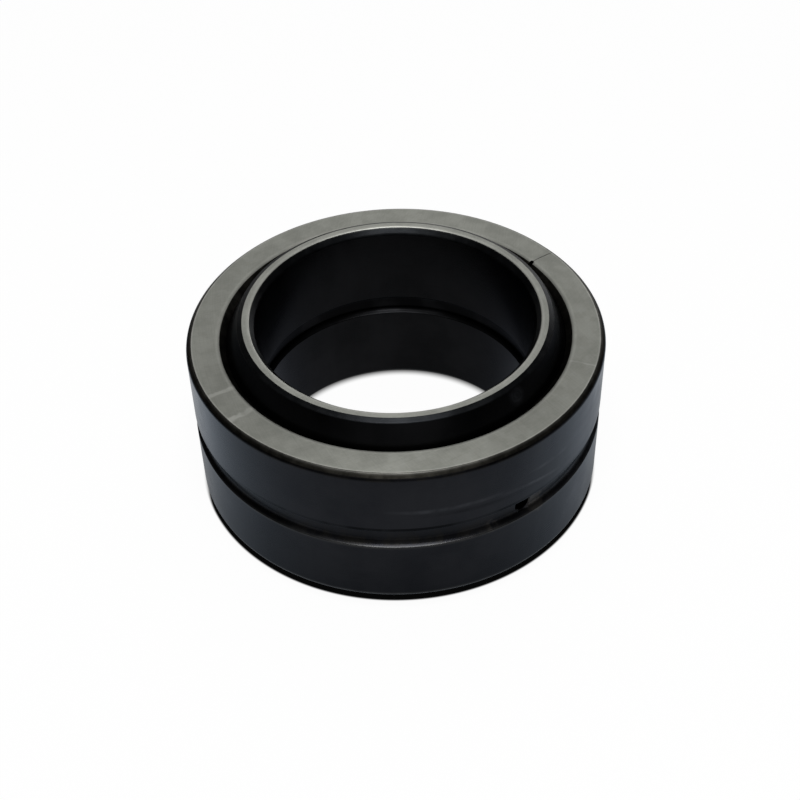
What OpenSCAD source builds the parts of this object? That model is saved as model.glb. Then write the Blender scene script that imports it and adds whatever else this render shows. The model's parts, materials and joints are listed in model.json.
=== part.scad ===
// Radial spherical plain bearing, steel on steel, with lubrication grooves and holes.
// The ball-shaped inner ring tilts and turns in the hollow-sphere seat of the outer ring.
// Millimetres. The origin is the centre of the sphere and +Z runs along the shaft bore.

/* [Inner ring] */
// Diameter of the bore that takes the shaft
bore_d = 60; // [50:0.5:80]
// Wall from the bore to the ball at mid-width
inner_wall = 10; // [9:0.25:14]
// Width of the inner ring along the shaft
inner_w = 44; // [39:0.5:47]
// Chamfer at both ends of the bore
bore_chamfer = 1.3; // [0.5:0.1:1.8]
// Radius that rounds the ball into the end faces
ball_edge_r = 1.35; // [0.4:0.05:1.5]

/* [Outer ring] */
// Wall from the ball to the housing seat at mid-width
outer_wall = 5; // [4:0.25:9]
// Width of the outer ring
outer_w = 36; // [30:0.5:38]
// Chamfer at the outside edges
outside_chamfer = 1; // [0.4:0.1:2]
// How far the chamfer at the mouth of the ball seat widens the mouth, per side
mouth_chamfer = 2.35; // [1:0.05:3.2]
// Gap between the ball and its seat, per side
seat_gap = 0.05; // [0.02:0.01:0.1]

/* [Lubrication] */
// Width of the ring grooves in the bore and on the outside, at the surface
groove_w = 4.8; // [4:0.1:7]
// Depth of these grooves
groove_depth = 1.2; // [0.6:0.1:1.6]
// Slope of every groove's flanks, in degrees from square
groove_flank = 30; // [10:1:40]
// Width of the ring groove in the ball seat
seat_groove_w = 4; // [3.2:0.1:7]
// Depth of the ring groove in the ball seat
seat_groove_depth = 0.9; // [0.4:0.1:1.2]
// Diameter of the radial lubrication holes
oil_hole_d = 3.5; // [2:0.1:4.5]
// Where the two holes of the inner ring stand, in degrees about +Z
inner_hole_angle = 0; // [0:1:179]

/* [Fracture] */
// Where the outer ring is cracked through, in degrees about +Z
fracture_angle = 34; // [0:1:359]
// Width of the crack
fracture_gap = 0.12; // [0.06:0.01:0.3]
// How far the crack wanders to either side of a straight line
fracture_wander = 0.1; // [0:0.02:0.4]
// Length over which the crack wanders to both sides once
fracture_wave = 5; // [3:0.1:12]
// Width of the notch that starts the crack at the mouth
notch_w = 1; // [0.6:0.1:2]
// How far the notch runs into the end face
notch_depth = 0.4; // [0.2:0.1:1.5]

/* [Hidden] */
$fn = 128;

// Room by which a cut runs past the surface that it opens
over = 1;
// Straight pieces that make up the wandering crack
fracture_steps = 10;
// The holes of the outer ring stand at right angles to its crack
outer_hole_angle = fracture_angle + 90;

bore_r = bore_d / 2;
ball_r = bore_r + inner_wall;
outside_r = ball_r + outer_wall;
seat_r = ball_r + seat_gap;
inner_end = inner_w / 2;
outer_end = outer_w / 2;

// Centre of the rounding between ball and end face, and the height where it meets the ball
edge_center_z = inner_end - ball_edge_r;
edge_center_r = sqrt(pow(ball_r - ball_edge_r, 2) - pow(edge_center_z, 2));
edge_meets_ball = edge_center_z * ball_r / (ball_r - ball_edge_r);

// Radius of the seat in the plane of the end face, and of the chamfered mouth there
seat_end_r = sqrt(pow(seat_r, 2) - pow(outer_end, 2));
mouth_r = seat_end_r + mouth_chamfer;

// Copies a profile or a cut to the other end of the ring
module both_ends() {
    children();
    mirror([0, 1]) children();
}

// Section of a ring groove that opens at wall_r; a negative depth runs towards the axis
module groove_section(wall_r, depth, width) {
    slope = tan(groove_flank);
    open_r = wall_r - sign(depth) * over;
    open_half = width / 2 + over * slope;
    floor_half = width / 2 - abs(depth) * slope;
    polygon([
        [open_r, -open_half],
        [wall_r + depth, -floor_half],
        [wall_r + depth, floor_half],
        [open_r, open_half]
    ]);
}

// Section of the ball cut off square at both ends, with its edges rounded
module ball_section() {
    intersection() {
        circle(ball_r);
        translate([0, -edge_meets_ball]) square([ball_r, 2 * edge_meets_ball]);
    }
    translate([0, -inner_end]) square([edge_center_r, inner_w]);
    for (end = [-1, 1])
        translate([edge_center_r, end * edge_center_z]) circle(ball_edge_r);
}

module inner_section() {
    difference() {
        ball_section();
        translate([-over, -inner_end - over]) square([bore_r + over, inner_w + 2 * over]);
        both_ends() polygon([
            [bore_r - over, inner_end - bore_chamfer - over],
            [bore_r + bore_chamfer + over, inner_end + over],
            [bore_r - over, inner_end + over]
        ]);
        groove_section(bore_r, groove_depth, groove_w);
    }
}

module outer_section() {
    difference() {
        translate([0, -outer_end]) square([outside_r, outer_w]);
        circle(seat_r);
        both_ends() polygon([
            [-over, outer_end - mouth_chamfer],
            [seat_end_r, outer_end - mouth_chamfer],
            [mouth_r + over, outer_end + over],
            [-over, outer_end + over]
        ]);
        both_ends() polygon([
            [outside_r - outside_chamfer - over, outer_end + over],
            [outside_r + over, outer_end - outside_chamfer - over],
            [outside_r + over, outer_end + over]
        ]);
        groove_section(outside_r, -groove_depth, groove_w);
        groove_section(seat_r, seat_groove_depth, seat_groove_w);
    }
}

// Two holes from the axis outwards, opposite each other at mid-width
module oil_holes(angle, reach) {
    for (turn = [0, 180])
        rotate([0, 0, angle + turn])
            rotate([0, 90, 0])
                cylinder(d = oil_hole_d, h = reach + over);
}

// Sideways place of the crack at a given radius
function crack_shift(r) = -fracture_wander * sin(360 * (r - mouth_r) / fracture_wave);

// The crack through the wall, with the notch from which it was started
module fracture() {
    start_r = seat_end_r - over;
    step = (outside_r + over - mouth_r) / fracture_steps;
    radii = [for (i = [0 : fracture_steps]) mouth_r + i * step];
    back = [for (i = [fracture_steps : -1 : 0]) mouth_r + i * step];
    rotate([0, 0, fracture_angle])
        translate([0, 0, -outer_end - over])
            linear_extrude(height = outer_w + 2 * over) {
                polygon([
                    for (r = radii) [r, crack_shift(r) - fracture_gap / 2],
                    for (r = back) [r, crack_shift(r) + fracture_gap / 2]
                ]);
                polygon([
                    [start_r, -notch_w / 2],
                    [mouth_r, -notch_w / 2],
                    [mouth_r + notch_depth, crack_shift(mouth_r + notch_depth)],
                    [mouth_r, notch_w / 2],
                    [start_r, notch_w / 2]
                ]);
            }
}

// Outer ring: turned in one piece, then cracked through at one place to take the ball
module outer_ring() {
    color("dimgray") difference() {
        rotate_extrude() outer_section();
        oil_holes(outer_hole_angle, outside_r);
        fracture();
    }
}

// Inner ring: ball on the outside, shaft bore with its ring groove on the inside
module inner_ring() {
    color("slategray") difference() {
        rotate_extrude() inner_section();
        oil_holes(inner_hole_angle, ball_r);
    }
}

outer_ring();
inner_ring();
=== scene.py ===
import json
import math
from collections import namedtuple

import bmesh
import bpy
from mathutils import Matrix, Vector


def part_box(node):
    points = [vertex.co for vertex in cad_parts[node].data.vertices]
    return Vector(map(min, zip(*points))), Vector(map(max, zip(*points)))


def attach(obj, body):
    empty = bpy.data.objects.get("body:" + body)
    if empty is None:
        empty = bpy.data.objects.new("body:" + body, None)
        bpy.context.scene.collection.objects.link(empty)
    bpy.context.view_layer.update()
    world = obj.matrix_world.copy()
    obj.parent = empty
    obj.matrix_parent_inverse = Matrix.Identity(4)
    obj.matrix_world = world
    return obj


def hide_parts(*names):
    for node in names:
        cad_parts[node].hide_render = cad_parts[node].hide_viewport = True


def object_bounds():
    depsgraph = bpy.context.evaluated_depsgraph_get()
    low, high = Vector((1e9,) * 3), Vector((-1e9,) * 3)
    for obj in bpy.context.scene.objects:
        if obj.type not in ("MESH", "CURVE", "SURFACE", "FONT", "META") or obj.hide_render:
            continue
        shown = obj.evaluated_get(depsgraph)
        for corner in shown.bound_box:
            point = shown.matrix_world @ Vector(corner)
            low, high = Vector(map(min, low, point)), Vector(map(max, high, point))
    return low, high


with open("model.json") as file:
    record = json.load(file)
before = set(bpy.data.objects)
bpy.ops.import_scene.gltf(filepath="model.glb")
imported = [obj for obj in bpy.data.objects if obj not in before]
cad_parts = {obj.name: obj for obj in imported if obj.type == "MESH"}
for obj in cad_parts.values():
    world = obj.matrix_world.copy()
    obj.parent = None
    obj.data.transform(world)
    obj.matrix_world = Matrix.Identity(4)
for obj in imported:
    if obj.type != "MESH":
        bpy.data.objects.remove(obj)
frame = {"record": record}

cad_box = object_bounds()

# Sizes of the bearing, in millimetres
MM = 0.001
mounts = {m["name"]: m["dims"] for m in frame["record"]["mounts"]}
INNER_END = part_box("inner_ring")[1][2] / MM
OUTER_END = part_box("outer_ring")[1][2] / MM
BORE_R = mounts["shaft_bore"]["r_mm"]
OUTSIDE_R = mounts["housing_seat"]["r_mm"]
BORE_CHAMFER = INNER_END - mounts["shaft_bore"]["length_mm"] / 2
OUTSIDE_CHAMFER = OUTER_END - mounts["housing_seat"]["length_mm"] / 2
BALL_R = 40.0
BALL_EDGE_R = 1.35
SEAT_GAP = 0.05
MOUTH_CHAMFER = 2.35
GROOVE_W = 4.8
GROOVE_DEPTH = 1.2
GROOVE_FLANK = math.radians(30)
GROOVE_FLOOR_HALF = GROOVE_W / 2 - GROOVE_DEPTH * math.tan(GROOVE_FLANK)
SEAT_GROOVE_W = 4.0
SEAT_GROOVE_DEPTH = 0.9
OIL_HOLE_D = 3.5
OIL_HOLE_EASE = 0.25
INNER_HOLE_ANGLE = math.radians(0)
FRACTURE_ANGLE = math.radians(34)
OUTER_HOLE_ANGLE = FRACTURE_ANGLE + math.radians(90)
FRACTURE_GAP = 0.12
FRACTURE_WANDER = 0.1
FRACTURE_WAVE = 5.0
NOTCH_W = 1.0
NOTCH_DEPTH = 0.4

# Waves of the crack along the wall: strength, angle per millimetre of height and of radius, and start
CRACK_WAVES = ((0.9, 0.83, 0.0, 0.6), (0.5, 2.1, 1.0, 0.0), (0.3, 4.7, 0.0, 0.0))
# Share of FRACTURE_WANDER that each wave of strength 1 takes
CRACK_SHARE = 0.7

# Radius of the rounding at each corner, and on both sides of the flat along the ball's edge
GROOVE_FLOOR_ROUNDING = 1.3
BORE_LIP_ROUNDING = 0.2
BORE_END_ROUNDING = 0.8
BORE_FACE_ROUNDING = 0.6
BALL_EDGE_ROUNDINGS = (0.15, 0.5)
WALL_LIP_ROUNDING = 0.15
WALL_END_ROUNDING = 0.8
WALL_FACE_ROUNDING = 0.4
MOUTH_ROUNDING = 1.0
SEAT_EDGE_ROUNDING = 0.12
SEAT_FLOOR_ROUNDING = 0.2

# How finely the rings are meshed; the crack bends CRACK_COLUMNS columns on each side of it
COLUMNS = 360
CRACK_COLUMNS = 4
ROW_STEP = 1.0
ROUNDING_STEPS = 4
BALL_STEPS = 26
SEAT_STEPS = 14
HOLE_STEPS = 48
# Height at which the arc of the ball ends, and its mirror image begins below mid-width
BALL_MIDDLE = 0.4
# How far a drill for an oil hole reaches past the inside of the wall
DRILL_PAST = 2.0
SHARP_ANGLE = math.radians(32)

# The finishes on each ring, as material slots of its mesh: blackened running and seating surfaces,
# bare ground end faces, and edges that were blackened as they came from the lathe
BLACKENED, GROUND, TURNED = 0, 1, 2


# Outlines of the rings

# One corner of an outline: finish is that of the stretch that follows and edge that of the rounding,
# rub is how bright the corner has been rubbed, and its grime darkens it: grease residue, with painted shade
# in the groove floors, above the groove's lip and below the chamfer, where dust also settles
Corner = namedtuple("Corner", "r z rounding finish edge rub grime",
                    defaults=(0.0, BLACKENED, BLACKENED, 0.0, 0.0))
# How far a corner's rub reaches, and the distances from a rounded corner at which a stretch gets points
RUB_REACH = 0.35
NEAR_CORNER = (0.06, 0.2, 0.35, 0.6)
# Where the painted shade above the groove's lip begins to fade and ends, and how far the painted shade
# reaches below the chamfer
LIP_GRIME_AND_SHADE = (0.7, 0.85)
TOP_GRIME_AND_SHADE = 0.7


def rounded_corner(before, corner, after, radius):
    """Points of the rounding at a corner between two straight edges."""
    corner = Vector(corner)
    a = (Vector(before) - corner).normalized()
    b = (Vector(after) - corner).normalized()
    half = a.angle(b) / 2
    middle = corner + (a + b).normalized() * (radius / math.sin(half))
    start = corner + a * (radius / math.tan(half)) - middle
    sweep = start.angle_signed(corner + b * (radius / math.tan(half)) - middle)
    points = []
    for i in range(ROUNDING_STEPS + 1):
        turn = -sweep * i / ROUNDING_STEPS
        c, s = math.cos(turn), math.sin(turn)
        points.append((middle.x + c * start.x - s * start.y, middle.y + s * start.x + c * start.y))
    return points


def between(length, start_rounded, end_rounded):
    """Distances along a straight stretch at which it gets points, close together near a rounded end."""
    near = [d for d in NEAR_CORNER if d < length / 2]
    first = near if start_rounded else []
    last = [length - d for d in reversed(near)] if end_rounded else []
    low = first[-1] if first else 0.0
    high = last[0] if last else length
    count = max(0, round((high - low) / ROW_STEP) - 1)
    return first + [low + (high - low) * (i + 1) / (count + 1) for i in range(count)] + last


def traced(corners):
    """Closed outline through the corners, as points (r, z, finish, rub, grime)."""
    count = len(corners)
    arcs = []
    for i, corner in enumerate(corners):
        before, after = corners[i - 1], corners[(i + 1) % count]
        if corner.rounding:
            arcs.append(rounded_corner(before[:2], corner[:2], after[:2], corner.rounding))
        else:
            arcs.append([corner[:2]])
    points = []
    for i, (corner, arc) in enumerate(zip(corners, arcs)):
        following = corners[(i + 1) % count]
        for k, p in enumerate(arc):
            finish = corner.finish if k == len(arc) - 1 else corner.edge
            points.append((*p, finish, corner.rub, corner.grime))
        start, end = Vector(arc[-1]), Vector(arcs[(i + 1) % count][0])
        length = (end - start).length
        for d in between(length, corner.rounding, following.rounding):
            p = start.lerp(end, d / length)
            from_here = corner.rub * (1 - d / RUB_REACH)
            from_next = following.rub * (1 - (length - d) / RUB_REACH)
            rub = max(from_here, from_next, 0.0)
            grime = corner.grime + (following.grime - corner.grime) * d / length
            points.append((p.x, p.y, corner.finish, rub, grime))
    return points


def mirrored(upper):
    """Whole outline from its upper half, which runs up from mid-height and back down to it."""
    finishes = [corner.finish for corner in upper]
    back = finishes[-2::-1] + finishes[-1:]
    lower = [corner._replace(z=-corner.z, finish=f) for corner, f in zip(reversed(upper), back)]
    return upper + lower


def sphere_arc(radius, high, low, steps):
    """Points down a sphere from one height to another, ends included."""
    a, b = math.asin(high / radius), math.asin(low / radius)
    turns = [a + (b - a) * i / steps for i in range(steps + 1)]
    return [(radius * math.cos(t), radius * math.sin(t)) for t in turns]


def inner_outline():
    """Bore with its groove, end faces and ball."""
    edge_z = INNER_END - BALL_EDGE_R
    edge_r = math.sqrt((BALL_R - BALL_EDGE_R) ** 2 - edge_z ** 2)
    meets_ball = edge_z * BALL_R / (BALL_R - BALL_EDGE_R)
    ball = sphere_arc(BALL_R, meets_ball, BALL_MIDDLE, BALL_STEPS)
    # The rounded ball edge is polished to a flat between two small roundings
    quarter_turn = math.acos(edge_z / (BALL_R - BALL_EDGE_R)) / 4
    face_side, ball_side = [rounding * math.tan(quarter_turn) for rounding in BALL_EDGE_ROUNDINGS]
    ball_r, ball_z = ball[0]
    flat_end = (ball_r - ball_side * ball_z / BALL_R, ball_z + ball_side * ball_r / BALL_R)
    upper = [
        # The bore groove's floor is darkened as painted shade in the hollow
        Corner(BORE_R + GROOVE_DEPTH, GROOVE_FLOOR_HALF, GROOVE_FLOOR_ROUNDING, grime=1.0),
        Corner(BORE_R, GROOVE_W / 2, BORE_LIP_ROUNDING),
        Corner(BORE_R, INNER_END - BORE_CHAMFER, BORE_END_ROUNDING, TURNED, TURNED),
        Corner(BORE_R + BORE_CHAMFER, INNER_END, BORE_FACE_ROUNDING, GROUND, GROUND, rub=0.25),
        Corner(edge_r + face_side, INNER_END, BALL_EDGE_ROUNDINGS[0], TURNED, TURNED),
        Corner(*flat_end, BALL_EDGE_ROUNDINGS[1], BLACKENED, TURNED),
    ]
    upper += [Corner(r, z) for r, z in ball[1:]]
    return traced(mirrored(upper))


def wall_corners(floor_grime_and_shade, lip_grime_and_shade, lip_rub, top_grime_and_shade, top_rub):
    """Outside wall from the floor of its groove up to the chamfer."""
    lip = GROOVE_W / 2
    top = OUTER_END - OUTSIDE_CHAMFER
    return [
        # The grime values darken the groove floor, the wall just above the lip and the wall below the chamfer
        # as painted shade
        Corner(OUTSIDE_R - GROOVE_DEPTH, GROOVE_FLOOR_HALF, GROOVE_FLOOR_ROUNDING, grime=floor_grime_and_shade),
        Corner(OUTSIDE_R, lip, WALL_LIP_ROUNDING, rub=lip_rub, grime=lip_grime_and_shade),
        Corner(OUTSIDE_R, lip + LIP_GRIME_AND_SHADE[0], grime=lip_grime_and_shade),
        Corner(OUTSIDE_R, lip + LIP_GRIME_AND_SHADE[1]),
        Corner(OUTSIDE_R, top - TOP_GRIME_AND_SHADE),
        Corner(OUTSIDE_R, top, WALL_END_ROUNDING, rub=top_rub, grime=top_grime_and_shade),
    ]


def outer_outline():
    """The outline, and the radius of the mouth."""
    seat_r = BALL_R + SEAT_GAP
    mouth_r = math.sqrt(seat_r ** 2 - OUTER_END ** 2) + MOUTH_CHAMFER
    # Height at which the 45 degree mouth meets the seat
    drop = mouth_r - OUTER_END
    meets_seat = (math.sqrt(2 * seat_r ** 2 - drop ** 2) - drop) / 2
    seat_floor_half = SEAT_GROOVE_W / 2 - SEAT_GROOVE_DEPTH * math.tan(GROOVE_FLANK)
    seat = sphere_arc(seat_r, meets_seat, SEAT_GROOVE_W / 2, SEAT_STEPS)
    wall = wall_corners(floor_grime_and_shade=0.15, lip_grime_and_shade=1.0, lip_rub=0.0, top_grime_and_shade=0.6, top_rub=0.0)
    wall[-1] = wall[-1]._replace(finish=TURNED)
    upper = wall + [
        Corner(OUTSIDE_R - OUTSIDE_CHAMFER, OUTER_END, WALL_FACE_ROUNDING, GROUND, TURNED, rub=0.5),
        Corner(mouth_r, OUTER_END, MOUTH_ROUNDING, TURNED, GROUND, rub=0.15),
        Corner(*seat[0], SEAT_EDGE_ROUNDING, BLACKENED, TURNED),
    ]
    upper += [Corner(r, z) for r, z in seat[1:-1]]
    upper.append(Corner(*seat[-1], SEAT_EDGE_ROUNDING))
    # The seat groove's floor is darkened as painted shade in the hollow
    upper.append(Corner(seat_r + SEAT_GROOVE_DEPTH, seat_floor_half, SEAT_FLOOR_ROUNDING, grime=1.0))
    corners = mirrored(upper)
    # Below the groove the lip and the bottom edge are clean and rubbed, and grease with painted shade darkens
    # the groove floor and its flank
    lower = wall_corners(floor_grime_and_shade=0.6, lip_grime_and_shade=0.0, lip_rub=0.25, top_grime_and_shade=0.0, top_rub=0.3)
    corners[-len(lower):] = [corner._replace(z=-corner.z) for corner in reversed(lower)]
    return traced(corners), mouth_r


# Meshes of the rings

def crack_shift(r, z):
    """Sideways place of the crack, which wanders across the face and along the wall."""
    across = math.sin(2 * math.pi * r / FRACTURE_WAVE)
    along = sum(strength * math.sin(up * z + out * r + start) for strength, up, out, start in CRACK_WAVES)
    return FRACTURE_WANDER * CRACK_SHARE * (across + along)


def crack_turn(i, r, z, mouth_r):
    """Angle by which column i gives way at r, z to the crack and to the notch at the mouth."""
    opening = FRACTURE_GAP / 2
    past_mouth = max(0.0, (r - mouth_r) / NOTCH_DEPTH)
    if past_mouth < 1:
        opening += (NOTCH_W - FRACTURE_GAP) / 2 * math.sqrt(1 - past_mouth ** 2)
    shift = crack_shift(r, z)
    after = max(0.0, 1 - i / CRACK_COLUMNS)
    before = max(0.0, 1 - (COLUMNS - i) / CRACK_COLUMNS)
    return (after * (shift + opening) + before * (shift - opening)) / r


def ring_mesh(name, outline, mouth_r=None):
    """Turns an outline about Z. With mouth_r the ring is cracked through, with a notch at its mouths."""
    rows = len(outline)
    cracked = mouth_r is not None
    bm = bmesh.new()
    rub_layer = bm.verts.layers.float.new("rub")
    grime_and_shade_layer = bm.verts.layers.float.new("grime")
    columns = []
    for i in range(COLUMNS + 1 if cracked else COLUMNS):
        column = []
        for r, z, _, rub, grime in outline:
            angle = 2 * math.pi * i / COLUMNS
            if cracked:
                angle += FRACTURE_ANGLE + crack_turn(i, r, z, mouth_r)
            v = bm.verts.new((r * MM * math.cos(angle), r * MM * math.sin(angle), z * MM))
            v[rub_layer] = rub
            v[grime_and_shade_layer] = grime
            column.append(v)
        columns.append(column)
    pairs = len(columns) - 1 if cracked else len(columns)
    for i in range(pairs):
        here, there = columns[i], columns[(i + 1) % len(columns)]
        for k in range(rows):
            m = (k + 1) % rows
            face = bm.faces.new((here[k], there[k], there[m], here[m]))
            face.material_index = outline[k][2]
    if cracked:
        for column in (columns[0], list(reversed(columns[-1]))):
            wall = bm.faces.new(column)
            wall.normal_update()
            wall.material_index = BLACKENED
            bmesh.ops.triangulate(bm, faces=[wall], ngon_method="EAR_CLIP")
    bmesh.ops.recalc_face_normals(bm, faces=bm.faces[:])
    mesh = bpy.data.meshes.new(name)
    bm.to_mesh(mesh)
    bm.free()
    return mesh


def add_object(name, mesh):
    obj = bpy.data.objects.new(name, mesh)
    bpy.context.scene.collection.objects.link(obj)
    return obj


def hole_drill(angle, wall_r, inner_r):
    """Drill for one radial hole, flared where it opens through the wall at wall_r."""
    hole_r = OIL_HOLE_D / 2
    stations = [
        (inner_r, hole_r),
        (wall_r - OIL_HOLE_EASE, hole_r),
        (wall_r + OIL_HOLE_EASE, hole_r + 2 * OIL_HOLE_EASE),
    ]
    bm = bmesh.new()
    rings = []
    for reach, radius in stations:
        ring = []
        for i in range(HOLE_STEPS):
            turn = 2 * math.pi * i / HOLE_STEPS
            across, up = radius * math.cos(turn), radius * math.sin(turn)
            ring.append(bm.verts.new((reach * MM, across * MM, up * MM)))
        rings.append(ring)
    for a, b in zip(rings, rings[1:]):
        for i in range(HOLE_STEPS):
            k = (i + 1) % HOLE_STEPS
            bm.faces.new((a[i], a[k], b[k], b[i]))
    bm.faces.new(rings[0])
    bm.faces.new(rings[-1])
    bmesh.ops.recalc_face_normals(bm, faces=bm.faces[:])
    bm.transform(Matrix.Rotation(angle, 4, "Z"))
    mesh = bpy.data.meshes.new("drill")
    bm.to_mesh(mesh)
    bm.free()
    return add_object("drill", mesh)


def drilled(obj, drills):
    """Cuts the holes into obj and removes the drills."""
    for drill in drills:
        cut = obj.modifiers.new("hole", "BOOLEAN")
        cut.operation = "DIFFERENCE"
        cut.solver = "EXACT"
        cut.object = drill
    shape = obj.evaluated_get(bpy.context.evaluated_depsgraph_get())
    mesh = bpy.data.meshes.new_from_object(shape)
    obj.modifiers.clear()
    obj.data = mesh
    for drill in drills:
        bpy.data.objects.remove(drill)


def smooth_turned(obj):
    """Smooth faces, with only the true corners left sharp."""
    bm = bmesh.new()
    bm.from_mesh(obj.data)
    for face in bm.faces:
        face.smooth = True
    for edge in bm.edges:
        edge.smooth = len(edge.link_faces) == 2 and edge.calc_face_angle() < SHARP_ANGLE
    bm.to_mesh(obj.data)
    bm.free()


# Shader parts

def grey(value):
    return (value, value, value, 1.0)


def add_node(tree, kind, inputs=None, **settings):
    """New node; each input takes a value or another node's output."""
    made = tree.nodes.new(kind)
    for name, value in settings.items():
        setattr(made, name, value)
    for name, value in (inputs or {}).items():
        if isinstance(value, bpy.types.NodeSocket):
            tree.links.new(value, made.inputs[name])
        else:
            made.inputs[name].default_value = value
    return made


def maths(tree, operation, a, b=0.0, clamp=False):
    made = add_node(tree, "ShaderNodeMath", {0: a, 1: b}, operation=operation, use_clamp=clamp)
    return made.outputs[0]


def ramp(tree, value, low, high, to_low=0.0, to_high=1.0):
    """Smooth step of value between low and high, from to_low to to_high."""
    inputs = {"Value": value, "From Min": low, "From Max": high, "To Min": to_low, "To Max": to_high}
    return add_node(tree, "ShaderNodeMapRange", inputs, interpolation_type="SMOOTHSTEP").outputs[0]


def add_up(tree, start, *terms):
    """start plus each output times its weight."""
    total = start
    for output, weight in terms:
        total = maths(tree, "ADD", maths(tree, "MULTIPLY", output, weight), total)
    return total


def mix_colour(tree, factor, a, b):
    made = add_node(tree, "ShaderNodeMix", data_type="RGBA")
    for socket, value in zip((made.inputs[0], made.inputs[6], made.inputs[7]), (factor, a, b)):
        if isinstance(value, bpy.types.NodeSocket):
            tree.links.new(value, socket)
        else:
            socket.default_value = value
    return made.outputs[2]


def vector(tree, x, y, z=0.0):
    return add_node(tree, "ShaderNodeCombineXYZ", {"X": x, "Y": y, "Z": z}).outputs[0]


def vector_parts(tree, place):
    return add_node(tree, "ShaderNodeSeparateXYZ", {0: place}).outputs


def distance(tree, place, point):
    made = add_node(tree, "ShaderNodeVectorMath", {0: place, 1: point}, operation="DISTANCE")
    return made.outputs["Value"]


def reach_along(tree, place, direction):
    """How far place lies along a direction."""
    made = add_node(tree, "ShaderNodeVectorMath", {0: place, 1: direction}, operation="DOT_PRODUCT")
    return made.outputs["Value"]


def noise(tree, place, scale, detail, roughness=0.5):
    """Noise from 0 to 1 with about scale cells to each unit of place."""
    inputs = {"Vector": place, "Scale": scale, "Detail": detail, "Roughness": roughness}
    return add_node(tree, "ShaderNodeTexNoise", inputs).outputs["Fac"]


def new_group(name, inputs, outputs):
    """Empty shader node group; inputs maps names to default values."""
    tree = bpy.data.node_groups.new(name, "ShaderNodeTree")
    for label, value in inputs.items():
        socket = tree.interface.new_socket(label, in_out="INPUT", socket_type="NodeSocketFloat")
        socket.default_value = value
    for label in outputs:
        tree.interface.new_socket(label, in_out="OUTPUT", socket_type="NodeSocketFloat")
    return tree, tree.nodes.new("NodeGroupInput").outputs, tree.nodes.new("NodeGroupOutput").inputs


def ring_place(tree):
    """Place on a piece in millimetres from the ball's centre, and its radius and height."""
    object_place = add_node(tree, "ShaderNodeTexCoord").outputs["Object"]
    scaled = add_node(tree, "ShaderNodeVectorMath", {0: object_place, "Scale": 1 / MM}, operation="SCALE")
    place = scaled.outputs[0]
    parts = vector_parts(tree, place)
    flat = vector(tree, parts["X"], parts["Y"])
    radius = add_node(tree, "ShaderNodeVectorMath", {0: flat}, operation="LENGTH").outputs["Value"]
    return place, radius, parts["Z"]


def turning_lines():
    """Fine rings that the lathe or grinder left, finest at a small pitch."""
    tree, given, out = new_group("turning_lines", {"Pitch": 0.2}, ["Lines"])
    place, radius, height = ring_place(tree)
    across = maths(tree, "DIVIDE", radius, given["Pitch"])
    along = maths(tree, "DIVIDE", height, given["Pitch"])
    inputs = {"Vector": vector(tree, across, along), "Scale": 1.0, "Detail": 3.0}
    rings = add_node(tree, "ShaderNodeTexNoise", inputs, noise_dimensions="2D").outputs["Fac"]
    strength = ramp(tree, noise(tree, place, 0.06, 1.0), 0.3, 0.7, 0.35, 1.0)
    lines = add_up(tree, 0.5, (maths(tree, "SUBTRACT", rings, 0.5), strength))
    tree.links.new(lines, out["Lines"])
    return tree


def blacking_cloud():
    """Cloudy unevenness of the blackened surface, as large clouds, specks, dust and patches."""
    outputs = ["Cloud", "Specks", "Dust", "Patches"]
    tree, given, out = new_group("blacking_cloud", {"Size": 12.0}, outputs)
    place, _, _ = ring_place(tree)
    # Cells to the millimetre, roughness, and the noise levels where the effect begins and is full
    kinds = (
        (maths(tree, "DIVIDE", 1.0, given["Size"]), 0.6, 0.32, 0.68),
        (2.2, 0.7, 0.45, 0.75),
        (0.45, 0.5, 0.4, 0.62),
        (0.09, 0.5, 0.38, 0.58),
    )
    for label, (scale, roughness, low, high) in zip(outputs, kinds):
        uneven = noise(tree, place, scale, 4.0, roughness)
        tree.links.new(ramp(tree, uneven, low, high), out[label])
    return tree


def oil_haze():
    """Hazy film of dried oil, drawn out along the axis and strongest on one side."""
    tree, given, out = new_group("oil_haze", {"Side": 0.0}, ["Haze"])
    place, radius, _ = ring_place(tree)
    drawn = add_node(tree, "ShaderNodeVectorMath", {0: place, 1: (0.42, 0.42, 0.06)}, operation="MULTIPLY")
    streaks = ramp(tree, noise(tree, drawn.outputs[0], 1.0, 4.0), 0.32, 0.72, 0.5, 1.0)
    patches = ramp(tree, noise(tree, place, 0.06, 2.0), 0.32, 0.62, 0.45, 1.0)
    facing = vector(tree, maths(tree, "COSINE", given["Side"]), maths(tree, "SINE", given["Side"]))
    toward = maths(tree, "DIVIDE", reach_along(tree, place, facing), radius)
    haze = maths(tree, "MULTIPLY", streaks, ramp(tree, toward, 0.55, 1.0, 0.06, 1.0))
    tree.links.new(maths(tree, "MULTIPLY", haze, patches), out["Haze"])
    return tree


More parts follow.
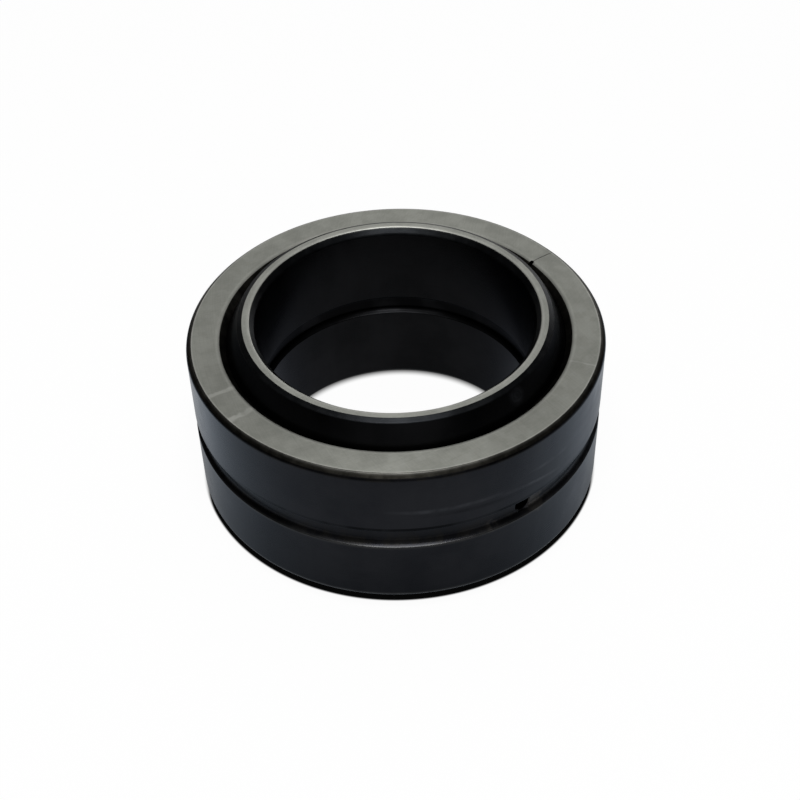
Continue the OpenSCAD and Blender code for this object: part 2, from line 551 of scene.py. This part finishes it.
def wiped_stroke():
    """Thin wavering stroke of a cloth round the wall, at Height at the angle Start and rising to End."""
    given_values = {"Height": 0.0, "Rise": 0.0, "Start": -1.0, "End": 0.0}
    tree, given, out = new_group("wiped_stroke", given_values, ["Stroke"])
    place, _, height = ring_place(tree)
    parts = vector_parts(tree, place)
    around = maths(tree, "ARCTAN2", parts["Y"], parts["X"])
    past_start = maths(tree, "SUBTRACT", around, given["Start"])
    waver = maths(tree, "SUBTRACT", noise(tree, place, 0.05, 2.0), 0.5)
    line = add_up(tree, given["Height"], (past_start, given["Rise"]))
    off_line = maths(tree, "SUBTRACT", add_up(tree, height, (waver, 1.6)), line)
    width = ramp(tree, maths(tree, "ABSOLUTE", off_line), 0.1, 0.8, 1.0, 0.0)
    begin = ramp(tree, past_start, 0.0, 0.25)
    finish = ramp(tree, maths(tree, "SUBTRACT", given["End"], around), 0.0, 0.25)
    stroke = maths(tree, "MULTIPLY", width, maths(tree, "MULTIPLY", begin, finish))
    fibres = ramp(tree, noise(tree, place, 0.3, 4.0), 0.3, 0.65, 0.3, 1.0)
    tree.links.new(maths(tree, "MULTIPLY", stroke, fibres), out["Stroke"])
    return tree


def dried_grease():
    """Ragged patch of dried grease round the point X, Y, Z."""
    tree, given, out = new_group("dried_grease", {"X": 0.0, "Y": 0.0, "Z": 0.0, "Reach": 3.0}, ["Patch"])
    place, _, _ = ring_place(tree)
    away = distance(tree, place, vector(tree, given["X"], given["Y"], given["Z"]))
    ragged = maths(tree, "SUBTRACT", noise(tree, place, 0.7, 4.0), 0.5)
    edge = add_up(tree, maths(tree, "DIVIDE", away, given["Reach"]), (ragged, 1.8))
    tree.links.new(ramp(tree, edge, 0.45, 0.95, 1.0, 0.0), out["Patch"])
    return tree


def thumb_mark():
    """Faint swirl that a greasy thumb left round the point X, Y, Z."""
    tree, given, out = new_group("thumb_mark", {"X": 0.0, "Y": 0.0, "Z": 0.0, "Reach": 6.5}, ["Mark"])
    place, _, _ = ring_place(tree)
    away = distance(tree, place, vector(tree, given["X"], given["Y"], given["Z"]))
    swirl = add_up(tree, away, (noise(tree, place, 0.3, 2.0), 3.0))
    ridges = ramp(tree, maths(tree, "SINE", maths(tree, "MULTIPLY", swirl, 7.5)), -1.0, 1.0, 0.7, 1.0)
    patchy = ramp(tree, noise(tree, place, 0.3, 4.0), 0.3, 0.68, 0.2, 1.0)
    inside = ramp(tree, maths(tree, "DIVIDE", away, given["Reach"]), 0.3, 1.0, 1.0, 0.0)
    film = maths(tree, "MULTIPLY", ridges, patchy)
    tree.links.new(maths(tree, "MULTIPLY", film, inside), out["Mark"])
    return tree


def face_smudge():
    """Uneven radial smudge across an end face at Angle, about Width wide."""
    tree, given, out = new_group("face_smudge", {"Angle": 0.0, "Width": 0.5}, ["Smudge"])
    place, _, _ = ring_place(tree)
    c = maths(tree, "COSINE", given["Angle"])
    s = maths(tree, "SINE", given["Angle"])
    outward = reach_along(tree, place, vector(tree, c, s))
    aside = reach_along(tree, place, vector(tree, maths(tree, "MULTIPLY", s, -1.0), c))
    waver = noise(tree, place, 0.4, 3.0)
    shift = maths(tree, "MULTIPLY", maths(tree, "SUBTRACT", waver, 0.5), given["Width"])
    off_line = maths(tree, "ABSOLUTE", add_up(tree, aside, (shift, 2.0)))
    mark = ramp(tree, maths(tree, "DIVIDE", off_line, given["Width"]), 0.3, 1.0, 1.0, 0.0)
    uneven = ramp(tree, waver, 0.3, 0.6, 0.4, 1.0)
    here = maths(tree, "GREATER_THAN", outward, 0.0)
    tree.links.new(maths(tree, "MULTIPLY", maths(tree, "MULTIPLY", mark, uneven), here), out["Smudge"])
    return tree


def rubbed_edge():
    """Where handling has rubbed the finish bright on the edges."""
    tree, given, out = new_group("rubbed_edge", {"Amount": 0.5}, ["Rubbed"])
    place, _, _ = ring_place(tree)
    rub = add_node(tree, "ShaderNodeAttribute", attribute_name="rub").outputs["Fac"]
    uneven = ramp(tree, noise(tree, place, 0.35, 4.0), 0.3, 0.7, 0.55, 1.0)
    amount = maths(tree, "MULTIPLY", rub, given["Amount"])
    tree.links.new(maths(tree, "MULTIPLY", amount, uneven, clamp=True), out["Rubbed"])
    return tree


# Where the cup wheel stood for each of the two sets of arcs that it left on the end faces
GRINDING_CENTRES = ((95.0, 20.0, 0.0), (-60.0, 85.0, 0.0))


def ground_lay():
    """Crossed arcs that a cup grinding wheel leaves on a flat face."""
    tree, given, out = new_group("ground_lay", {"Pitch": 0.25}, ["Lay"])
    place, _, _ = ring_place(tree)
    arcs = []
    for centre in GRINDING_CENTRES:
        spot = maths(tree, "DIVIDE", distance(tree, place, centre), given["Pitch"])
        inputs = {"W": spot, "Scale": 1.0, "Detail": 2.0}
        arcs.append(add_node(tree, "ShaderNodeTexNoise", inputs, noise_dimensions="1D").outputs["Fac"])
    tree.links.new(maths(tree, "MULTIPLY", maths(tree, "ADD", *arcs), 0.5), out["Lay"])
    return tree


def place_group(tree, group, **values):
    made = tree.nodes.new("ShaderNodeGroup")
    made.node_tree = group
    for name, value in values.items():
        made.inputs[name].default_value = value
    return made.outputs


def new_material(name):
    material = bpy.data.materials.new(name)
    material.use_nodes = True
    tree = material.node_tree
    return material, tree, tree.nodes["Principled BSDF"]


LINES = turning_lines()
CLOUD = blacking_cloud()
HAZE = oil_haze()
STROKE = wiped_stroke()
DRIED = dried_grease()
THUMB = thumb_mark()
SMUDGE = face_smudge()
RUBBED = rubbed_edge()
LAY = ground_lay()


# Finishes

# Look of one blackened surface: its cloudy colour runs from deep to pale and size is that of the clouds,
# sheen tints it at a slant, film is how strongly dried oil shows and film_side the angle where most of it
# is, dust is how much lies in its grooves, strokes are the wiped strokes, and thumbs and patches give the
# place, reach and strength of each thumb mark and each patch of dried grease
Blacking = namedtuple("Blacking", "deep pale size sheen roughness film film_side dust strokes thumbs patches",
                      defaults=(0.0, 0.0, 0.0, (), (), ()))
# A wiped stroke: the heights and angles of its two ends, and its strength, below zero for a dark one
Wipe = namedtuple("Wipe", "height end_height start end strength")

OIL_FILM = (0.090, 0.095, 0.107, 1.0)
# Near-black of grease, also painted in as shade in the hollows, above the lip and below the chamfer
GREASE_AND_SHADE = (0.0014, 0.0014, 0.0015, 1.0)
DUST = (0.017, 0.0155, 0.012, 1.0)
DRIED_GREASE = (0.036, 0.034, 0.032, 1.0)
WORN_EDGE = (0.20, 0.20, 0.188, 1.0)
BARE_RIM = (0.62, 0.62, 0.58, 1.0)
# Depth that the bump of every finish stands for, in metres
BUMP_DEPTH = 0.00004


def oil_and_strokes(tree, look):
    """How much oil film lies on a blackened surface, and how much of it was wiped away."""
    film = maths(tree, "MULTIPLY", place_group(tree, HAZE, Side=look.film_side)["Haze"], look.film)
    wiped = 0.0
    for wipe in look.strokes:
        start, end = math.radians(wipe.start), math.radians(wipe.end)
        rise = (wipe.end_height - wipe.height) / (end - start)
        stroke = place_group(tree, STROKE, Height=wipe.height, Rise=rise, Start=start, End=end)["Stroke"]
        stroke = maths(tree, "MULTIPLY", stroke, abs(wipe.strength))
        if wipe.strength > 0:
            film = maths(tree, "MAXIMUM", film, stroke)
        else:
            wiped = maths(tree, "MAXIMUM", wiped, stroke)
    for (x, y, z), reach, strength in look.thumbs:
        mark = place_group(tree, THUMB, X=x, Y=y, Z=z, Reach=reach)["Mark"]
        film = maths(tree, "MAXIMUM", film, maths(tree, "MULTIPLY", mark, strength))
    return film, wiped


def blackened_steel(name, look):
    material, tree, surface = new_material(name)
    cloud = place_group(tree, CLOUD, Size=look.size)
    lines = place_group(tree, LINES, Pitch=0.22)["Lines"]
    rubbed = place_group(tree, RUBBED, Amount=0.5)["Rubbed"]
    grime = add_node(tree, "ShaderNodeAttribute", attribute_name="grime").outputs["Fac"]
    film, wiped = oil_and_strokes(tree, look)
    clouded = add_up(tree, 0.0, (cloud["Cloud"], 0.9), (lines, 0.3))
    colour = mix_colour(tree, clouded, look.deep, look.pale)
    colour = mix_colour(tree, film, colour, OIL_FILM)
    # Grease darkens it unevenly where the grime is, which is painted shade in the groove floors, above the
    # lip and below the chamfer, and along the dark wiped strokes
    uneven = ramp(tree, cloud["Patches"], 0.0, 1.0, 0.4, 0.88)
    greasy_and_shaded = maths(tree, "MAXIMUM", maths(tree, "MULTIPLY", grime, uneven), wiped)
    colour = mix_colour(tree, greasy_and_shaded, colour, GREASE_AND_SHADE)
    # Dust settles where there is some grime, and sinks into the thickest of it
    loose = maths(tree, "MULTIPLY", grime, ramp(tree, grime, 0.7, 0.95, 1.0, 0.0))
    dusty = maths(tree, "MULTIPLY", loose, maths(tree, "MULTIPLY", cloud["Dust"], look.dust))
    colour = mix_colour(tree, dusty, colour, DUST)
    for (x, y, z), reach, strength in look.patches:
        patch = place_group(tree, DRIED, X=x, Y=y, Z=z, Reach=reach)["Patch"]
        colour = mix_colour(tree, maths(tree, "MULTIPLY", patch, strength), colour, DRIED_GREASE)
    colour = mix_colour(tree, rubbed, colour, WORN_EDGE)
    tree.links.new(colour, surface.inputs["Base Color"])
    rough = add_up(tree, look.roughness, (cloud["Cloud"], 0.07), (film, 0.2), (lines, 0.10), (dusty, 0.15))
    tree.links.new(rough, surface.inputs["Roughness"])
    height = add_up(tree, 0.0, (lines, 1.0), (cloud["Specks"], 0.6))
    bump = add_node(tree, "ShaderNodeBump", {"Height": height, "Strength": 0.12, "Distance": BUMP_DEPTH})
    tree.links.new(bump.outputs["Normal"], surface.inputs["Normal"])
    surface.inputs["Metallic"].default_value = 1.0
    surface.inputs["Specular Tint"].default_value = look.sheen
    return material


def ground_steel(name, dull, bright, grain, smudges):
    """Bare steel of a ground end face; smudges lists the angle, width and strength of each."""
    material, tree, surface = new_material(name)
    cloud = place_group(tree, CLOUD, Size=5.0)
    lines = place_group(tree, LINES, Pitch=0.3)["Lines"]
    lay = place_group(tree, LAY, Pitch=0.28)["Lay"]
    rubbed = place_group(tree, RUBBED, Amount=1.0)["Rubbed"]
    shade = add_up(tree, -0.3, (lay, 0.9), (cloud["Cloud"], 0.5), (cloud["Specks"], 0.3))
    colour = mix_colour(tree, shade, dull, bright)
    for angle, width, strength in smudges:
        smudge = place_group(tree, SMUDGE, Angle=math.radians(angle), Width=width)["Smudge"]
        colour = mix_colour(tree, maths(tree, "MULTIPLY", smudge, strength), colour, BARE_RIM)
    colour = mix_colour(tree, rubbed, colour, BARE_RIM)
    tree.links.new(colour, surface.inputs["Base Color"])
    rough = add_up(tree, 0.45, (lay, 0.15), (cloud["Specks"], 0.08))
    tree.links.new(rough, surface.inputs["Roughness"])
    height = add_up(tree, 0.0, (lay, 1.0), (lines, 0.5))
    bump = add_node(tree, "ShaderNodeBump", {"Height": height, "Strength": 0.15, "Distance": BUMP_DEPTH})
    tree.links.new(bump.outputs["Normal"], surface.inputs["Normal"])
    surface.inputs["Metallic"].default_value = 0.9
    surface.inputs["Anisotropic"].default_value = grain
    surface.inputs["Anisotropic Rotation"].default_value = 0.25
    around = add_node(tree, "ShaderNodeTangent", direction_type="RADIAL", axis="Z")
    tree.links.new(around.outputs[0], surface.inputs["Tangent"])
    return material


# The two rings

def on_wall(degrees, height):
    """Point on the outside wall, in millimetres."""
    angle = math.radians(degrees)
    return OUTSIDE_R * math.cos(angle), OUTSIDE_R * math.sin(angle), height


def on_ball(degrees, height):
    """Point on the ball, in millimetres."""
    angle = math.radians(degrees)
    r = math.sqrt(BALL_R ** 2 - height ** 2)
    return r * math.cos(angle), r * math.sin(angle), height


OUTER_WALL_LOOK = Blacking(
    deep=(0.0076, 0.0080, 0.0098, 1.0),
    pale=(0.0122, 0.0126, 0.0146, 1.0),
    size=14.0,
    sheen=(0.73, 0.775, 0.83, 1.0),
    roughness=0.20,
    film=0.32,
    film_side=math.radians(-5),
    dust=0.45,
    strokes=(
        Wipe(7.9, 7.6, -98, -58, 0.18),
        Wipe(7.5, 4.5, -68, -36, 0.3),
        Wipe(4.6, 3.9, -48, -10, 0.75),
        Wipe(9.6, 9.2, -60, -32, 0.35),
        Wipe(6.8, 5.1, -90, -46, -0.4),
    ),
    thumbs=(
        (on_wall(-32, -9.0), 8.0, 0.65),
        (on_wall(-24, 10.5), 8.0, 0.5),
        (on_wall(-157, 5.0), 6.0, 0.3),
    ),
    patches=(
        (on_wall(-51.5, -0.6), 3.2, 0.9),
        (on_wall(-66, -1.5), 1.8, 0.5),
    ),
)
OUTER_EDGE_LOOK = Blacking(
    deep=(0.0145, 0.0138, 0.0116, 1.0),
    pale=(0.036, 0.0342, 0.029, 1.0),
    size=2.5,
    sheen=grey(0.5),
    roughness=0.30,
)
BALL_LOOK = Blacking(
    deep=(0.0037, 0.0038, 0.0041, 1.0),
    pale=(0.0063, 0.0064, 0.0069, 1.0),
    size=14.0,
    sheen=(0.59, 0.60, 0.625, 1.0),
    roughness=0.22,
    film=0.02,
    film_side=math.radians(130),
    thumbs=((on_ball(-47, 20.0), 2.6, 0.28),),
)
INNER_EDGE_LOOK = Blacking(
    deep=(0.0066, 0.0072, 0.0080, 1.0),
    pale=(0.0122, 0.0131, 0.0143, 1.0),
    size=4.0,
    sheen=grey(0.8),
    roughness=0.28,
)
# Angle in degrees, width and strength of each pale smudge on the outer ring's end faces
FACE_SMUDGES = ((-152.5, 0.8, 0.35), (-141.0, 1.0, 0.4), (-20.0, 0.3, 0.2))


def finish_ring(ring, materials, hole_angle, rim_r, inside_r):
    """Gives a ring its finishes, in the order of the slots, and its two oil holes."""
    for material in materials:
        ring.data.materials.append(material)
    drill_end = inside_r - DRILL_PAST
    drilled(ring, [hole_drill(hole_angle + turn, rim_r, drill_end) for turn in (0, math.pi)])
    smooth_turned(ring)


def make_outer_ring():
    outline, mouth_r = outer_outline()
    ring = add_object("outer_ring_turned", ring_mesh("outer_ring_turned", outline, mouth_r))
    dull, bright = (0.24, 0.245, 0.219, 1.0), (0.355, 0.36, 0.326, 1.0)
    materials = [
        blackened_steel("outer_blackened_steel", OUTER_WALL_LOOK),
        ground_steel("outer_ground_face", dull, bright, grain=0.4, smudges=FACE_SMUDGES),
        blackened_steel("outer_turned_edge", OUTER_EDGE_LOOK),
    ]
    finish_ring(ring, materials, OUTER_HOLE_ANGLE, OUTSIDE_R - GROOVE_DEPTH, BALL_R)
    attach(ring, "outer_ring")
    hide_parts("outer_ring")


def make_inner_ring():
    ring = add_object("inner_ring_turned", ring_mesh("inner_ring_turned", inner_outline()))
    dull, bright = (0.265, 0.27, 0.245, 1.0), (0.40, 0.405, 0.37, 1.0)
    materials = [
        blackened_steel("inner_blackened_steel", BALL_LOOK),
        ground_steel("inner_ground_face", dull, bright, grain=0.2, smudges=()),
        blackened_steel("inner_turned_edge", INNER_EDGE_LOOK),
    ]
    finish_ring(ring, materials, INNER_HOLE_ANGLE, BALL_R, BORE_R)
    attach(ring, "inner_ring")
    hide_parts("inner_ring")


make_outer_ring()
make_inner_ring()


# Studio

# Half the width of the floor in metres, and the share of glow in what is seen of it
FLOOR_HALF = 4.0
FLOOR_GLOW = 0.95
# Tone of the floor in the shadow and outside it, and how bright the shadow looks
FLOOR_DARK = 0.02
FLOOR_WHITE = 0.92
SHADOW_GLOW = 0.002
# Shadow right under the rings, with its centre set back: the width of its edge at the front and at the back,
# and the places along Y between which it widens
SHADOW_R = OUTSIDE_R + 1.0
SHADOW_BACK = 3.5
SHADOW_EDGES = (0.25, 6.0)
SHADOW_SOFTENS = (-15.0, 20.0)
# Shade of the rings on the floor as reflections see it: the radii where it is deepest and where it ends,
# and the share of the light that is left where it is deepest
SHADE = (OUTSIDE_R - 1, OUTSIDE_R + 25.0, 0.5)
# The light that falls through the bore: where it begins to fade and ends
BORE_LIGHT = (BORE_R - 1, BORE_R + 2)
# Pools of light on the floor: centre, and the distances from it where the light begins to fall off and ends
POOLS = (((0.0, 0.0), 110.0, 220.0), ((150.0, 130.0), 90.0, 230.0))
POOL_END = 0.15
# The window: the angles where it starts and ends, how high it reaches and how bright it is
WINDOW = (0.84, 1.15, 0.4, 2.6)
WINDOW_EDGE = 0.06
# Brightness of the sky: at the horizon, low down, overhead at the front and at the back, in the far front,
# and at both sides at the front and at the back
SKY_HORIZON = 0.95
SKY_LOW = 0.70
SKY_OVERHEAD = (0.25, 0.62)
SKY_FRONT = 0.9
SKY_SIDES = (0.12, 0.06)
SOFTBOX_PLACE = (0.0, -0.30, 0.85)
SOFTBOX_SIZE = 0.36
SOFTBOX_POWER = 5.6


def floor_light(tree, low):
    """How lit the floor is under the rings, and how bright it looks in reflections; low is its height."""
    place, radius, _ = ring_place(tree)
    away = distance(tree, place, (0.0, SHADOW_BACK, low))
    edge = ramp(tree, vector_parts(tree, place)["Y"], *SHADOW_SOFTENS, *SHADOW_EDGES)
    fade_start = maths(tree, "SUBTRACT", SHADOW_R, edge)
    outside = ramp(tree, away, fade_start, SHADOW_R + SHADOW_EDGES[0])
    in_bore = ramp(tree, radius, *BORE_LIGHT, 1.0, 0.0)
    lit = maths(tree, "MAXIMUM", outside, in_bore)
    pool = POOL_END
    for (x, y), start, end in POOLS:
        here = ramp(tree, distance(tree, place, (x, y, low)), start, end, 1.0, 0.0)
        pool = maths(tree, "MAXIMUM", pool, here)
    near = ramp(tree, radius, *SHADE, 1.0)
    pool = maths(tree, "MULTIPLY", maths(tree, "MAXIMUM", near, in_bore), pool)
    return lit, maths(tree, "MULTIPLY", lit, pool)


def make_floor():
    """Pale floor that looks white and is white in reflections, dark in the shadow right under the rings."""
    low = cad_box[0][2]
    mesh = bpy.data.meshes.new("floor")
    corners = [(x * FLOOR_HALF, y * FLOOR_HALF, low) for x, y in ((-1, -1), (1, -1), (1, 1), (-1, 1))]
    mesh.from_pydata(corners, [], [(0, 1, 2, 3)])
    floor = add_object("floor", mesh)
    material, tree, surface = new_material("floor_white")
    surface.inputs["Roughness"].default_value = 0.9
    surface.inputs["Specular IOR Level"].default_value = 0.0
    lit, reflected = floor_light(tree, low / MM)
    tone = mix_colour(tree, lit, grey(FLOOR_DARK), grey(FLOOR_WHITE))
    tree.links.new(tone, surface.inputs["Base Color"])
    rays = add_node(tree, "ShaderNodeLightPath").outputs
    camera = rays["Is Camera Ray"]
    in_reflections = mix_colour(tree, reflected, grey(0.0), grey(1.0))
    to_camera = mix_colour(tree, lit, grey(SHADOW_GLOW), grey(1.0))
    shine = mix_colour(tree, camera, in_reflections, to_camera)
    glow = add_node(tree, "ShaderNodeEmission", {"Color": shine, "Strength": 1.0})
    mirrored_rays = maths(tree, "MAXIMUM", rays["Is Glossy Ray"], rays["Is Transmission Ray"])
    seen = maths(tree, "MAXIMUM", camera, mirrored_rays)
    both = add_node(tree, "ShaderNodeMixShader", {0: maths(tree, "MULTIPLY", seen, FLOOR_GLOW)})
    tree.links.new(surface.outputs[0], both.inputs[1])
    tree.links.new(glow.outputs[0], both.inputs[2])
    tree.links.new(both.outputs[0], tree.nodes["Material Output"].inputs["Surface"])
    mesh.materials.append(material)


def make_sky():
    """Room light like a long tent: pale along its middle from front to back, dim at both sides."""
    world = bpy.data.worlds.new("studio")
    bpy.context.scene.world = world
    world.use_nodes = True
    tree = world.node_tree
    direction = add_node(tree, "ShaderNodeTexCoord").outputs["Generated"]
    parts = vector_parts(tree, direction)
    overhead_front, overhead_back = [grey(v) for v in SKY_OVERHEAD]
    above = mix_colour(tree, ramp(tree, parts["Y"], -0.3, 0.4), overhead_front, overhead_back)
    above = mix_colour(tree, ramp(tree, parts["Y"], -0.66, -0.5), grey(SKY_FRONT), above)
    middle = mix_colour(tree, ramp(tree, parts["Z"], 0.3, 0.65), grey(SKY_LOW), above)
    side_front, side_back = [grey(v) for v in SKY_SIDES]
    sides = mix_colour(tree, ramp(tree, parts["Y"], 0.1, 0.5), side_front, side_back)
    aside = maths(tree, "ABSOLUTE", parts["X"])
    tent = mix_colour(tree, ramp(tree, aside, 0.25, 0.75), middle, sides)
    # The horizon is white all round, and a window is behind on the right
    colour = mix_colour(tree, ramp(tree, parts["Z"], 0.03, 0.06), grey(SKY_HORIZON), tent)
    start, end, top, bright = WINDOW
    around = maths(tree, "ARCTAN2", parts["Y"], parts["X"])
    past_start = ramp(tree, around, start, start + WINDOW_EDGE)
    before_end = ramp(tree, around, end, end + WINDOW_EDGE, 1.0, 0.0)
    below_top = ramp(tree, parts["Z"], top, top + WINDOW_EDGE, 1.0, 0.0)
    window = maths(tree, "MULTIPLY", maths(tree, "MULTIPLY", past_start, before_end), below_top)
    colour = mix_colour(tree, window, colour, grey(bright))
    tree.links.new(colour, tree.nodes["Background"].inputs["Color"])


def make_softbox():
    """Square lamp overhead that faces the bearing."""
    light = bpy.data.lights.new("overhead_softbox", "AREA")
    light.shape = "SQUARE"
    light.size = SOFTBOX_SIZE
    light.energy = SOFTBOX_POWER
    lamp = bpy.data.objects.new("overhead_softbox", light)
    lamp.location = SOFTBOX_PLACE
    lamp.rotation_euler = Vector(SOFTBOX_PLACE).to_track_quat("Z", "Y").to_euler()
    bpy.context.scene.collection.objects.link(lamp)


make_floor()
make_sky()
make_softbox()


# Camera

IMAGE_SIZE = 800
CENTRE_PIXEL = (397.3, 388.83)
CAMERA_AZIMUTH = math.radians(-0.8)
CAMERA_ELEVATION = math.radians(42.645)
CAMERA_ROLL = math.radians(-1.614)
CAMERA_DEPTH = 312.7
FOCAL_PIXELS = 1398.1
SENSOR_WIDTH = 36.0
CLIP_START = 0.01


def make_camera():
    """Camera at the photograph's place: the ball's centre shows at CENTRE_PIXEL."""
    level = Vector((math.cos(CAMERA_AZIMUTH), math.sin(CAMERA_AZIMUTH), 0))
    over_floor = Vector((-level.y, level.x, 0))
    ahead = math.cos(CAMERA_ELEVATION) * over_floor - Vector((0, 0, math.sin(CAMERA_ELEVATION)))
    upright = level.cross(ahead)
    right = math.cos(CAMERA_ROLL) * level + math.sin(CAMERA_ROLL) * upright
    up = math.cos(CAMERA_ROLL) * upright - math.sin(CAMERA_ROLL) * level
    per_pixel = CAMERA_DEPTH / FOCAL_PIXELS
    left_by = (CENTRE_PIXEL[0] - IMAGE_SIZE / 2) * per_pixel
    down_by = (IMAGE_SIZE / 2 - CENTRE_PIXEL[1]) * per_pixel
    place = (-CAMERA_DEPTH * ahead - left_by * right - down_by * up) * MM
    data = bpy.data.cameras.new("camera")
    data.sensor_width = SENSOR_WIDTH
    data.lens = SENSOR_WIDTH * FOCAL_PIXELS / IMAGE_SIZE
    data.clip_start = CLIP_START
    camera = bpy.data.objects.new("camera", data)
    axes = Matrix((right, up, -ahead)).transposed().to_4x4()
    camera.matrix_world = Matrix.Translation(place) @ axes
    bpy.context.scene.collection.objects.link(camera)
    bpy.context.scene.camera = camera


make_camera()
bpy.context.scene.view_settings.view_transform = "Standard"
